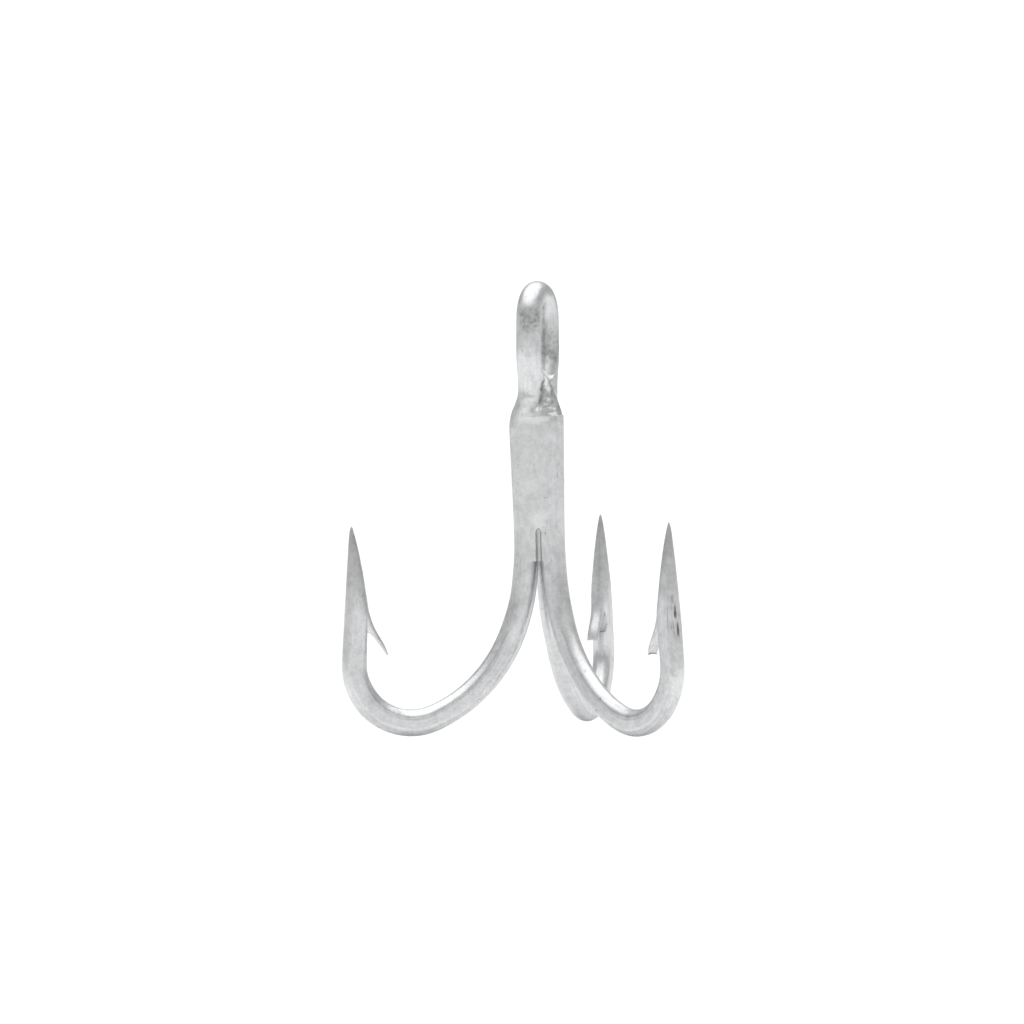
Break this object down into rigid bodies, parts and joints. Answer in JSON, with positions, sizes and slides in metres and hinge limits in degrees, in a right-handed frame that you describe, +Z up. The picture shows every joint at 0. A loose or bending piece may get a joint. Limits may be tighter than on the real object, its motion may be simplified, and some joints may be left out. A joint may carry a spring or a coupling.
{
  "type": "treble hook",
  "caption": "Fishing treble hook: barbed bends around a brazed shank, with one long wire eye at the top for a split ring or line.",
  "frame": {"origin": "on the treble's long axis, level with the lowest points of the bends that it stands on", "axes": "+Z up the shank towards the eye; -Y towards the brazed-on front hook; the double hook's bends lie either side of +Y"},
  "size_m": [0.0332, 0.029, 0.0415],
  "materials": {
    "tinned_steel": "dull tin plate, satin, finely grained",
    "tinned_braze": "dull tin plate over braze, satin, mottled"
  },
  "bodies": {
    "root": {"double_hook": "tinned_steel", "front_hook": "tinned_steel", "braze": "tinned_braze"}
  },
  "joints": []
}
